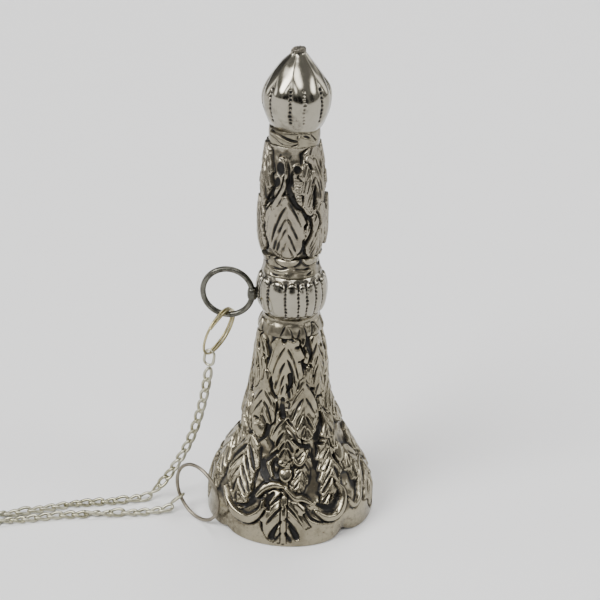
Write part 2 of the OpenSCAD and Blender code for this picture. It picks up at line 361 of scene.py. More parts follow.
            # The metal swells between two strokes
            wave = 0.16 * np.cos(2 * np.pi * (c - first * length) / gap)
            height = height - wave * smoothstep(0.1, 0.4, f) * smoothstep(1.1, 0.8, f)
            if rib == "ridge":
                height = height + 0.16 * np.exp(-((a / 0.32) ** 2))
            elif rib == "flat":
                bar = 0.8 * (1 - 0.3 * rowt)
                height = height + 0.2 * smoothstep(bar + 0.12, bar - 0.12, a)
                edge = np.exp(-(((a - bar - 0.3) / 0.22) ** 2))
                height = height - 0.55 * edge * smoothstep(0.0, 0.12, rowt)
            elif rib == "groove":
                ends = smoothstep(0, 0.15, rowt) * smoothstep(1, 0.8, rowt)
                height = height - 0.4 * np.exp(-((a / 0.26) ** 2)) * ends
            self.put(height, mask, -d, groove)
            self.black_oxide_and_shadow = np.maximum(self.black_oxide_and_shadow, 0.85 * mask * cutting * smoothstep(0.1, 0.8, thick / stroke))

    def ellipse(self, place, size, lean=0.0):
        """Distance from the middle of an ellipse, 1 at its edge, for each half."""
        for turn in self.halves:
            x, y = self.local(place[0] + turn, self.down(place[1]))
            c, s = math.cos(math.radians(lean)), math.sin(math.radians(lean))
            yield np.hypot((c * x + s * y) / size[0], (-s * x + c * y) / size[1])

    def pit(self, place, size, lean=0.0, deep=0.75, rim=0.0):
        """An oval hollow, with a raised lip if rim is given."""
        for q in self.ellipse(place, size, lean):
            if rim:
                self.h += rim * np.exp(-(((q - 1.22) * min(size) / 0.22) ** 2))
            mask = smoothstep(1.12, 0.78, q)
            self.h = self.h * (1 - mask) - deep * mask
            self.black_oxide_and_shadow = np.maximum(self.black_oxide_and_shadow, smoothstep(1.15, 0.9, q))

    def bud(self, place, size, lean=0.0, rise=-0.1, dome=0.45, groove=0.4):
        """A rounded seed with a groove round it."""
        for q in self.ellipse(place, size, lean):
            mask = smoothstep(1.06, 0.94, q)
            height = rise + dome * np.sqrt(np.clip(1 - q**2, 0, 1))
            self.put(height, mask, (q - 1) * min(size), groove)

    def route(self, places, steps):
        """The line through (turn, height, half-width) places, as (turn, distance down, half-width)."""
        return spline([(turn, self.down(z), wide) for turn, z, wide in places], steps)

    def ribbon(self, places, rise=-0.1, dome=0.35, groove=0.35):
        """A rounded band through (turn, height, half-width) places."""
        line = self.route(places, 10)
        for turn in self.halves:
            best, width = np.full(self.h.shape, 1e9), np.ones(self.h.shape)
            for phi, s, wide in line:
                gap = np.hypot(*self.local(phi + turn, s)) - wide
                width = np.where(gap < best, wide, width)
                best = np.minimum(best, gap)
            q = np.clip((best + width) / width, 0, 1.5)
            height = rise + dome * np.sqrt(np.clip(1 - q**2, 0, 1))
            self.put(height, smoothstep(0.1, -0.08, best), best, groove)

    def trench(self, places, deep=0.7):
        """A dark cut through (turn, height, half-width) places."""
        line = self.route(places, 8)
        for turn in self.halves:
            best = np.full(self.h.shape, 1e9)
            for phi, s, wide in line:
                best = np.minimum(best, np.hypot(*self.local(phi + turn, s)) / wide)
            mask = smoothstep(1.15, 0.6, best)
            self.h = np.minimum(self.h, self.h * (1 - mask) - deep * mask)
            self.black_oxide_and_shadow = np.maximum(self.black_oxide_and_shadow, smoothstep(1.25, 0.5, best))

    def creases(self, turns, z_top, z_low, deep=0.06, dots=0.5, pitch=1.15):
        """Punched lines down the piece: a shallow crease with small square pits along it."""
        s0, s1 = self.down(z_top), self.down(z_low)
        for turn, strength in turns:
            x, y = self.local(turn, s0)
            fade = smoothstep(0, 1.5, y) * smoothstep(s1 - s0, s1 - s0 - 1.5, y)
            self.h -= deep * strength * np.exp(-((x / 0.9) ** 2)) * fade
            count = int((s1 - s0) / pitch)
            slip = self.rng.uniform(-0.12, 0.12, (count + 1, 2))
            grow = self.rng.uniform(0.75, 1.25, count + 1)
            k = np.clip(np.round(y / pitch), 0, count).astype(int)
            dx, dy = x - slip[k, 0], y - k * pitch - slip[k, 1]
            square = np.maximum(np.abs(dx) / (0.36 * grow[k]), np.abs(dy) / (0.3 * grow[k]))
            self.h -= dots * strength * smoothstep(1.15, 0.6, square) * (fade > 0.15)
            self.black_oxide_and_shadow = np.maximum(self.black_oxide_and_shadow, strength * smoothstep(1.1, 0.8, square) * (fade > 0.15))

    def cavity(self):
        """How deep each point lies below what is round it, with the black: 0 on the highs, 1 in the recesses.
        It darkens the colour both as oxide and as painted shade.
        """
        # The wide blur gives a soft painted shade that deepens towards the grooves and hollows
        low = 0.8 * np.clip((self.blurred(self.h, 0.7) - self.h - 0.04) / 0.3, 0, 1)
        low += np.clip((self.blurred(self.h, 2.4) - self.h - 0.05) / 0.7, 0, 1)
        black_oxide_and_shadow = self.blurred(self.black_oxide_and_shadow, 0.12)
        return np.clip(low + 0.85 * black_oxide_and_shadow * self.uneven, 0, 1)

    def points(self, shift=0.0):
        """The pushed-out grid, in millimetres. shift moves it sideways, as the hand-made piece sits."""
        r = self.r[:, None] + self.normal[:, :1] * self.h
        z = self.z[:, None] + self.normal[:, 1:] * self.h
        a = np.radians(self.phi)[None, :]
        return np.stack([r * np.sin(a) + np.reshape(shift, (-1, 1)), -r * np.cos(a), z], -1)


def soft_limit(h, low, high):
    """h kept between low and high, rounded off near them instead of cut flat."""
    over, under = high - 0.5, low + 0.3
    h = np.where(h > over, over + 0.5 * np.tanh((h - over) / 0.5), h)
    return np.where(h < under, under - 0.3 * np.tanh((under - h) / 0.3), h)


# --- Materials ------------------------------------------------------------------------------------


class Nodes:
    """The node tree of a material or a world, built up by short calls."""

    def __init__(self, owner, shader="ShaderNodeBsdfPrincipled", output="ShaderNodeOutputMaterial"):
        owner.use_nodes = True
        self.owner, self.tree = owner, owner.node_tree
        self.tree.nodes.clear()
        self.shader = self.tree.nodes.new(shader)
        self.feed(self.tree.nodes.new(output).inputs["Surface"], self.shader.outputs[0])

    def add(self, kind, inputs=None, **values):
        node = self.tree.nodes.new(kind)
        for key, value in values.items():
            setattr(node, key, value)
        for key, value in (inputs or {}).items():
            self.feed(node.inputs[key], value)
        return node

    def feed(self, socket, value):
        """Links a socket to another, or sets its value."""
        if isinstance(value, bpy.types.NodeSocket):
            self.tree.links.new(value, socket)
        elif socket.type == "RGBA":
            socket.default_value = (*value, 1)
        else:
            socket.default_value = value

    def noise(self, scale, detail=3.0, rough=0.55, stretch=(1, 1, 1)):
        coords = self.add("ShaderNodeTexCoord").outputs["Object"]
        moved = self.add("ShaderNodeMapping", {"Vector": coords, "Scale": stretch}).outputs["Vector"]
        values = {"Vector": moved, "Scale": scale, "Detail": detail, "Roughness": rough}
        return self.add("ShaderNodeTexNoise", values).outputs["Fac"]

    def attribute(self, name):
        return self.add("ShaderNodeAttribute", attribute_name=name).outputs["Fac"]

    def spread(self, value, low, high):
        """0 up to low, 1 from high on, smooth between."""
        values = {"Value": value, "From Min": low, "From Max": high}
        return self.add("ShaderNodeMapRange", values, interpolation_type="SMOOTHSTEP").outputs["Result"]

    def blend(self, factor, a, b):
        """a where factor is 0, b where it is 1."""
        return self.add("ShaderNodeMapRange", {"Value": factor, "To Min": a, "To Max": b}).outputs["Result"]

    def math(self, how, a, b):
        return self.add("ShaderNodeMath", {0: a, 1: b}, operation=how).outputs[0]

    def swing(self, value, size):
        """size times a value's distance from one half."""
        return self.math("MULTIPLY", self.math("SUBTRACT", value, 0.5), size)

    def mix(self, factor, a, b):
        """Colour a where factor is 0, b where it is 1."""
        return self.add("ShaderNodeMix", {0: factor, 6: a, 7: b}, data_type="RGBA").outputs[2]

    def surface(self, colour, metallic, rough, bump=None, depth=0.0):
        for key, value in (("Base Color", colour), ("Metallic", metallic), ("Roughness", rough)):
            self.feed(self.shader.inputs[key], value)
        if bump is not None:
            node = self.add("ShaderNodeBump", {"Height": bump, "Strength": 1.0, "Distance": depth})
            self.feed(self.shader.inputs["Normal"], node.outputs["Normal"])
        return self.owner


def antique_silver(name, light, shade, rough, stain, brush=(1, 1, 1), brush_scale=1200, depth=0.000012):
    """Worn silver plate: polished highs, black in the recesses that is oxide and painted shade, and a thin
    uneven tarnish between, darkened further by painted shade.
    """
    n = Nodes(bpy.data.materials.new(name))
    cavity = n.attribute("cavity")
    patches = n.noise(160, 4.0, 0.6)
    specks = n.noise(900, 3.0, 0.6)
    specked_oxide_and_shade = n.math("ADD", cavity, n.swing(specks, 0.7))
    black = n.spread(specked_oxide_and_shade, 0.36, 1.0)
    tarnish_and_shade = n.math("MULTIPLY", n.spread(patches, 0.42, 0.72), stain)
    # The recesses and the darkened low parts take a soft painted shade as well as the tarnish
    tarnish_and_shade = n.math("MAXIMUM", tarnish_and_shade, n.math("MULTIPLY", n.spread(specked_oxide_and_shade, 0.05, 0.5), 0.9))
    colour = n.mix(black, n.mix(tarnish_and_shade, light, shade), (0.006, 0.0055, 0.005))
    # The black, partly oxide and partly painted shade, is matt and hardly shines
    n.feed(n.shader.inputs["Specular IOR Level"], n.blend(black, 0.5, 0.2))
    marks = n.noise(brush_scale, 2.0, 0.5, brush)
    worn = n.blend(n.math("MAXIMUM", tarnish_and_shade, black), rough, rough + 0.2)
    roughness = n.math("ADD", worn, n.swing(marks, 0.16))
    return n.surface(colour, n.blend(black, 1.0, 0.0), roughness, marks, depth)


def wire_metal(name, light, shade, rough, dark):
    """Drawn wire with scratches and a patchy stain, as a slot and its material."""
    n = Nodes(bpy.data.materials.new(name))
    patches = n.noise(350, 4.0, 0.65)
    marks = n.noise(2600, 2.0, 0.5)
    stain = n.math("MULTIPLY", n.spread(patches, 0.4, 0.68), dark)
    roughness = n.math("ADD", n.blend(stain, rough, rough + 0.2), n.swing(marks, 0.2))
    return name, n.surface(n.mix(stain, light, shade), 1.0, roughness, marks, 0.00001)


def chain_metal():
    """Silver chain with a faint yellow-green tint. Each link has its own tone."""
    n = Nodes(bpy.data.materials.new("chain_metal"))
    tone = n.attribute("tone")
    patches = n.noise(500, 3.0, 0.6)
    metal = n.mix(tone, (0.34, 0.325, 0.225), (0.5, 0.485, 0.38))
    colour = n.mix(n.math("MULTIPLY", n.spread(patches, 0.45, 0.75), 0.5), metal, (0.25, 0.23, 0.17))
    return n.surface(colour, 1.0, n.blend(tone, 0.24, 0.36), patches, 0.00001)


# Each finish is a slot and its material: light, shade, roughness and how much of it is stained
CAST = "cast_silver", antique_silver("cast_silver", (0.3, 0.27, 0.196), (0.09, 0.076, 0.051), 0.17, 0.5)
STEM = "cast_silver", antique_silver("stem_silver", (0.277, 0.251, 0.197), (0.1, 0.087, 0.063), 0.2, 0.5)
POLISHED = "knop_silver", antique_silver(
    "knop_silver", (0.312, 0.292, 0.236), (0.13, 0.117, 0.093), 0.14, 0.25, (1, 1, 0.12), 900, 0.000006
)
PLAIN = "plain_silver", antique_silver(
    "plain_silver", (0.25, 0.227, 0.17), (0.08, 0.069, 0.05), 0.24, 0.75, (0.15, 0.15, 1), 900
)
DARK_WIRE = wire_metal("dark_wire", (0.13, 0.127, 0.108), (0.03, 0.028, 0.023), 0.24, 0.8)
BRASS_WIRE = wire_metal("brass_wire", (0.43, 0.38, 0.21), (0.18, 0.15, 0.075), 0.28, 0.45)
RING_WIRE = wire_metal("ring_wire", (0.24, 0.215, 0.17), (0.11, 0.093, 0.07), 0.34, 0.6)
STEEL = wire_metal("steel", (0.42, 0.42, 0.42), (0.16, 0.13, 0.11), 0.32, 0.6)
BOB_STEEL = wire_metal("bob_steel", (0.5, 0.5, 0.49), (0.2, 0.18, 0.16), 0.25, 0.5)
CHAIN = "chain_silver", chain_metal()


# --- The stacked silver pieces --------------------------------------------------------------------

WALL = 1.3
# The shell's outline, as (radius, height)
MOUTH = [
    (9.2, CROWN), (9.4, 58), (10.2, 52), (10.8, 46), (11.3, 41), (12.2, 37), (13.4, 33), (14.5, 29.5),
    (16.0, 25.5), (18.0, 21.5), (20.1, 18), (22.0, 14.5), (23.9, 9), (24.65, 4), (24.9, 0.9), (24.7, 0.25),
    (24.35, 0),
]
# Turn, rise and draw-in of each notch of the mouth
NOTCHES = [(-49, 1.0, 0.5), (43, 1.8, 2.0), (131, 1.2, 0.9), (221, 1.2, 0.9)]
MOUTH_R = 24.97
# The crown's underside, where the washer bears, and how far the slender part leans left above the flare
CROWN_LOW = 56.8
LEAN = -0.6
# Ways of cutting a leaf: deep and open, long and plain, and the shell's first leaves
DEEP = dict(reach=1.0, cut=0.75, rise=0.0, blunt=0.5)
LONG = dict(rise=0.1, peak=0.95, blunt=0.45)
ROOT = dict(strokes=5, slope=1.6, cut=0.5, stroke=0.38, rise=0.1, peak=0.8, blunt=0.42)


def shell_relief():
    """Acanthus leaves in overlapping rows, seeds, ribbons and hollows over a lobed, polished rim."""
    m = Relief(MOUTH, 600, 235, seed=11)
    # Matted ground above, smooth metal towards the rim
    high = smoothstep(5.5, 11, m.z)[:, None]
    m.h = high * (-0.5 + 0.12 * m.noise(1.0)) + 0.07 * m.noise(4) * smoothstep(1, 5, m.z)[:, None]
    # Row above the rim, at each notch and between
    m.leaf((66, 24), (78, 6.5), 5.6, strokes=5, slope=1.1, stroke=0.45, twist=0.2)
    m.leaf((-84, 27), (-72, 8.5), 5.4, strokes=5, slope=1.1, stroke=0.45, twist=-0.2)
    m.leaf(
        (16, 28), (5, 14.5), 3.6, strokes=5, slope=0.9, stroke=0.34, rise=-0.25, dome=0.4, lift=0.1,
        twist=-0.2,
    )
    m.leaf(
        (-51, 29), (-37, 9.5), 6.4, right=5.8, strokes=5, slope=1.0, stroke=0.66, teeth=4, serrate=0.14,
        dome=0.75, peak=0.85, bend=-3, fold=0.25, **DEEP,
    )
    m.leaf(
        (44, 29), (26, 11.5), 4.8, right=5.0, strokes=5, slope=0.9, stroke=0.62, teeth=5, serrate=0.22,
        dome=0.7, bend=5, fold=0.2, **DEEP,
    )
    # The broad leaf at each lobe's middle
    for middle in (-4, 86):
        m.leaf(
            (middle, 19), (middle, 1.3), 9.0, right=8.0, strokes=4, slope=0.75, reach=1.0, cut=0.7,
            stroke=0.66, teeth=3, serrate=0.3, dome=0.4, rise=0.0, peak=1.45, blunt=0.5, rib="flat",
            first=0.06, lift=0.15,
        )
        m.trench([(middle - 4, 7, 0.4), (middle - 7, 4.6, 0.8), (middle - 8, 3, 1.1)], deep=0.6)
        m.trench([(middle + 4, 7, 0.4), (middle + 7, 4.8, 0.8), (middle + 9, 3.2, 1.0)], deep=0.6)
    # Curled ribbons out of the lobe leaf's top, and the crescents that they end in
    m.ribbon([(-3, 17.6, 0.6), (-13, 18, 1.0), (-21, 16.8, 1.1), (-25, 14.4, 0.6)], rise=0.1, dome=0.7)
    m.ribbon([(-3, 17.2, 0.6), (4, 15, 0.9), (10, 14.6, 0.9), (17, 13, 0.5)], rise=0.05, dome=0.6)
    m.ribbon(
        [
            (-56, 13, 0.5), (-50, 9.8, 1.1), (-40, 7.6, 1.4), (-29, 7.4, 1.35), (-21, 10.4, 0.9),
            (-20, 13.4, 0.35),
        ],
        rise=0.0, dome=0.8, groove=0.4,
    )
    m.ribbon(
        [(19, 10.8, 0.5), (27, 8.3, 1.1), (36, 8.2, 1.25), (42, 11, 1.15), (44, 14.4, 0.9), (40, 16.6, 0.5)],
        rise=0.0, dome=0.8, groove=0.4,
    )
    m.ribbon(
        [(86, 17.4, 0.5), (76, 17, 0.9), (68, 14, 1.0), (60, 9.8, 1.1), (52, 8.6, 0.9), (48, 11, 0.4)],
        rise=0.0, dome=0.6, groove=0.4,
    )
    m.trench([(-13, 15.8, 0.5), (-17, 13.6, 0.9), (-15, 11.4, 0.4)], deep=0.8)
    m.trench([(-27, 12.6, 0.5), (-34, 10.6, 0.8), (-42, 10.4, 0.35)], deep=0.8)
    m.trench([(21, 12.6, 0.5), (28, 11, 1.1), (34, 11, 1.0), (38, 13, 0.6)], deep=0.8)
    m.trench([(12, 11.5, 0.4), (16, 8.6, 0.5), (24, 6.8, 0.25)], deep=0.6)
    # Seeds between the big leaves
    m.bud((-4, 20.8), (1.9, 2.5), rise=0.0, dome=0.55, groove=0.5)
    m.bud((-4, 23.6), (2.5, 1.3), rise=0.15, dome=0.4, groove=0.4)
    for turn, z in ((-7.5, 23.4), (-5.2, 24.1), (-3.4, 23.2), (-1.2, 24), (0.4, 23.1)):
        m.pit((turn, z), (0.26, 0.3), deep=0.3)
    m.bud((55, 23.6), (1.8, 3.1), lean=16, rise=0.0, dome=0.75, groove=0.5)
    m.bud((-66, 27.5), (1.6, 2.2), lean=-10, rise=0.0, dome=0.6, groove=0.45)
    m.trench([(-27, 23.6, 0.9), (-25, 21, 1.5), (-20, 18.6, 0.9)], deep=0.8)
    m.ribbon([(-12, 28, 0.4), (-18, 26, 0.8), (-21, 23, 0.8), (-16, 20, 0.4)], rise=0.0, dome=0.5)
    m.ribbon([(1, 26, 0.4), (7, 23.4, 0.7), (13, 24, 0.7), (20, 27.6, 0.4)], rise=0.0, dome=0.5)
    m.ribbon([(50, 36, 1.3), (54, 31, 1.7), (50, 26, 0.6)], rise=0.05, dome=0.6)
    # Third row
    m.leaf((50, 40), (46, 28.5), 5.6, strokes=3, slope=1.6, cut=0.4, teeth=3, serrate=0.14, twist=0.25)
    m.leaf((-74, 40), (-64, 27), 5.4, strokes=4, slope=1.3, cut=0.5, stroke=0.4, twist=-0.2)
    m.leaf(
        (-4, 38.5), (-5, 23.8), 5.6, right=5.4, strokes=4, slope=1.0, stroke=0.6, teeth=3, serrate=0.24,
        dome=0.75, peak=0.8, fold=0.15, **DEEP,
    )
    # Second row
    m.leaf(
        (-41, 49.5), (-38, 29.2), 5.4, right=5.0, strokes=4, slope=1.0, reach=1.0, cut=0.6, stroke=0.5,
        serrate=0.2, first=0.2, twist=-0.12, **LONG,
    )
    m.leaf(
        (24, 50), (19, 29.4), 4.9, right=5.4, strokes=4, slope=1.1, reach=1.0, cut=0.6, stroke=0.5,
        serrate=0.2, first=0.12, twist=0.12, fold=0.1, **LONG,
    )
    m.leaf((78, 50), (80, 30), 5.2, strokes=5, slope=1.2, stroke=0.4, cut=0.5, **LONG)
    m.pit((-45, 34.2), (1.2, 0.5), deep=0.5)
    m.bud((-40, 31.6), (2.4, 2.0), rise=0.25, dome=0.45, groove=0.15)
    # First row
    m.leaf((50, 61.5), (50, 41), 4.9, **ROOT)
    m.leaf((-70, 61.5), (-69, 42), 5.1, bend=4, **ROOT)
    m.leaf(
        (-5, 61.5), (-7, 41), 6.0, right=5.4, strokes=4, slope=1.7, reach=1.0, cut=0.6, stroke=0.5, teeth=3,
        serrate=0.22, rise=0.18, peak=0.75, blunt=0.4, rib="none", first=0.03, fold=0.12,
    )
    # Dark hollows between the leaves
    for place, size, lean in (
        ((-47, 53.2), (0.6, 0.7), 0), ((-56, 49), (0.8, 0.6), 20), ((35, 50.9), (0.45, 0.8), -20),
        ((38, 47.7), (0.5, 0.4), 0), ((37, 43.5), (0.95, 0.7), 25), ((16.5, 52.6), (0.6, 0.3), 10),
        ((33.5, 27.9), (1.5, 0.5), 10), ((-86, 46), (0.6, 0.9), 10), ((66, 45), (0.6, 0.9), -10),
        ((64, 56), (0.5, 1.0), 0), ((-30, 59.6), (1.0, 0.35), -15), ((2, 59.6), (1.0, 0.35), 15),
        ((-9, 60.6), (0.8, 1.5), 10), ((12, 57.2), (0.8, 0.55), 0),
    ):
        m.pit(place, size, lean, deep=0.8)
    m.trench([(-66, 46, 0.5), (-68, 43, 0.7), (-78, 40.5, 0.4)])
    m.trench([(-29, 47.5, 0.4), (-28, 45, 0.7), (-25, 43, 0.55), (-19, 41.6, 0.65)])
    m.trench([(0.8, 49, 0.75), (1.5, 46, 0.65), (-4.2, 43.5, 0.25)])
    m.trench([(33, 60, 0.6), (32, 57, 0.8), (36, 54.5, 0.7), (30, 51.6, 0.4), (24, 50.2, 0.25)])
    m.trench([(-9, 41.6, 0.6), (-10, 39.4, 0.8), (-8, 36.6, 1.1)])
    m.trench([(46, 36, 0.5), (42, 33, 1.0), (31.5, 30, 1.3)])
    m.trench([(-72, 33, 0.3), (-60, 30.6, 0.5), (-53, 29, 0.5)])
    m.trench([(-28, 33, 0.7), (-31, 30, 0.6), (-38, 28, 0.4)])
    m.trench([(-14, 26.6, 0.5), (-22, 24.4, 0.8), (-30, 23, 0.5)])
    m.trench([(3, 30, 0.4), (10, 28.4, 0.6), (20, 27.4, 0.6)])
    m.trench([(-23, 18, 0.5), (-27, 15.6, 0.7), (-33, 13, 0.3)])
    m.trench([(-58, 55, 0.35), (-60, 58.5, 0.35), (-55, 60, 0.3)], deep=0.5)
    m.h *= 1 + 0.35 * smoothstep(40, 28, m.z)[:, None]
    m.h += (0.2 * m.noise(3.5) + 0.08 * m.noise(1.3)) * high
    m.h = soft_limit(m.h + 0.03 * m.noise(0.5) * high, -1.05, 1.0)
    return m


def bell_shell():
    """The cast bell: leafy outside, plain inside, with a lobed mouth and a bored crown."""
    m = shell_relief()
    # The slender part sits a little to the left of the mouth
    skin = m.points(LEAN * smoothstep(27, 36, m.z))
    wall = [(24.0, 0), (23.75, 0.25)] + [(r - WALL, z) for r, z in reversed(MOUTH) if 0.5 < z < 57][1:]
    under = [(7.2, CROWN_LOW), (BORE, CROWN_LOW), (BORE, CROWN)]
    plain = ring_rows(spline(wall, 2).tolist() + under, m.phi)
    plain[:-2, :, 0] += LEAN * smoothstep(27, 36, plain[:-2, :, 2])
    points, faces = closed_grid(skin, plain)
    # The mouth's edge lifts and draws in at each notch
    phi = np.degrees(np.arctan2(points[:, 0], -points[:, 1]))
    r, z = np.hypot(points[:, 0], points[:, 1]), points[:, 2].copy()
    lift, draw = np.zeros(len(z)), np.zeros(len(z))
    for turn, up, back in NOTCHES:
        away = np.abs((phi - turn + 180) % 360 - 180)
        lift += up * np.exp(-((away / 5.0) ** 1.4))
        draw += back * np.exp(-((away / 12.0) ** 1.6))
    low = np.clip(1 - z / 11, 0, 1)
    points[:, :2] *= (np.minimum(r - draw * low**1.5, MOUTH_R) / r)[:, None]
    points[:, 2] = np.maximum(z + lift * np.clip(1 - z / 9, 0, 1) ** 1.2, 0.0)
    # The polished rim is painted darker towards the floor, a painted shade that dims its reflection of the
    # floor, mottled by tarnish
    rim_shade_and_tarnish = (0.17 + 0.09 * m.noise(4)) * smoothstep(9, 4, m.z)[:, None]
    cavity = np.concatenate([m.cavity() + rim_shade_and_tarnish, np.full(plain.shape[:2], 0.3)])
    make_piece("bell_shell_cast", points, faces[:, ::-1], "bell", CAST, "bell_shell", cavity=cavity)


def stacked(name, relief, finish, node, shift):
    """A bored piece of the stack from its relief, shift to the right of the axis."""
    plain = ring_rows([(BORE, relief.z[-1]), (BORE, relief.z[0])], relief.phi)
    points, faces = closed_grid(relief.points(shift), plain)
    cavity = np.concatenate([relief.cavity(), np.full(plain.shape[:2], 0.5)])
    make_piece(name, points, faces[:, ::-1], "bell", finish, node, cavity=cavity)


def petals(relief, turns, narrow):
    """Between each two turns, a rounded height round the axis, lower for petals under narrow degrees."""
    edges = sorted((turn + 180) % 360 - 180 for turn in turns)
    for a, b in zip(edges, edges[1:] + [edges[0] + 360]):
        t = ((relief.phi - a) % 360) / (b - a)
        yield np.where(t < 1, 4 * t * (1 - t), 0) * min(1.0, (b - a) / narrow)


def neck_band():
    profile = [(7.9, SHOULDER), (8.1, 63.8), (8.6, 62.9), (9.0, 61.9), (9.35, 60.9), (9.4, CROWN)]
    m = Relief(profile, 300, 60, seed=3)
    m.h = 0.1 * m.noise(1.1) - 0.1
    # The roots of the shell's first leaves run up on to the shoulder
    m.halves = (0,)
    for turn, wide in (
        (-70, 0.9), (-40, 0.6), (-7, 1.1), (22, 0.7), (50, 0.9), (84, 0.6), (112, 1.0), (150, 0.8),
        (190, 1.0), (232, 0.9), (262, 0.7),
    ):
        places = [(turn, 63, 0.3), (turn + 1, 61.4, wide), (turn, 59.8, 1.4 * wide)]
        m.ribbon(places, dome=0.3, groove=0.3)
    m.h = np.clip(m.h, -0.8, 0.35)
    stacked("neck_shoulder", m, PLAIN, "neck_band", -0.55)


def knop():
    profile = [
        (8.1, KNOP_TOP), (8.7, 77.4), (9.5, 75.4), (10.0, 73.4), (10.1, 71.4), (9.95, 69.4), (9.5, 67.4),
        (8.7, 65.6), (8.1, SHOULDER),
    ]
    m = Relief(profile, 360, 86, seed=5)
    turns = [(-70, 1), (-43, 1), (-10, 1.1), (12, 0.8), (27, 0.9), (45, 1), (62, 1), (85, 1)]
    turns += [(108 + 24.6 * k, 1) for k in range(8)]
    m.h = -0.05 + 0.03 * m.noise(2.2)
    m.creases(turns, 76.0, 65.4)
    bulge = sum(petals(m, [turn for turn, _ in turns], 24))
    between = smoothstep(64.8, 67.5, m.z) * smoothstep(78, 75.5, m.z)
    m.h += 0.55 * (bulge[None, :] - 0.5) * between[:, None]
    # Each lobe ends in a rounded lip at its top
    lip = m.z[:, None] - (74.4 + 2.3 * bulge[None, :] ** 0.6)
    m.h += 0.04 * np.exp(-(((lip + 0.6) / 0.6) ** 2)) - 0.45 * smoothstep(-0.2, 0.6, lip)
    low_lip = (66.6 - 0.8 * bulge[None, :]) - m.z[:, None]
    m.h += 0.06 * np.exp(-(((low_lip + 0.5) / 0.5) ** 2)) - 0.3 * smoothstep(-0.1, 0.35, low_lip)
    m.h = np.clip(m.h, -0.9, 0.3)
    stacked("knop_bead", m, POLISHED, "knop", -0.4)


def pinch_collar():
    """The waist under the stem: matted, with the stem's leaf tips hanging over it."""
    profile = [(8.2, WAIST), (7.95, 82.4), (7.85, 81), (7.95, 79.8), (8.2, 78.9), (8.5, KNOP_TOP)]
    m = Relief(profile, 320, 56, seed=9)
    m.h = 0.13 * m.noise(0.9) - 0.1
    m.halves = (0,)
    for turn, wide in ((-9, 3.4), (42, 2.6), (105, 2.8), (171, 3.4), (224, 2.6), (-72, 2.6)):
        m.bud((turn, 83.9), (wide, 2.0), rise=0.1, dome=0.35, groove=0.35)
    m.ribbon(
        [(-62, 80.4, 0.3), (-40, 79.6, 0.6), (-18, 79.7, 0.6), (-4, 80.6, 0.3)], rise=-0.05, dome=0.25,
        groove=0.4,
    )
    m.ribbon([(6, 80.2, 0.3), (24, 79.5, 0.6), (44, 79.9, 0.3)], rise=-0.05, dome=0.25, groove=0.4)
    m.trench([(62, 81, 0.3), (80, 80, 0.5), (96, 80.6, 0.3)], deep=0.45)
    m.h = np.clip(m.h, -0.8, 0.6)
    stacked("pinch_collar_ring", m, PLAIN, "pinch_collar", -0.55)


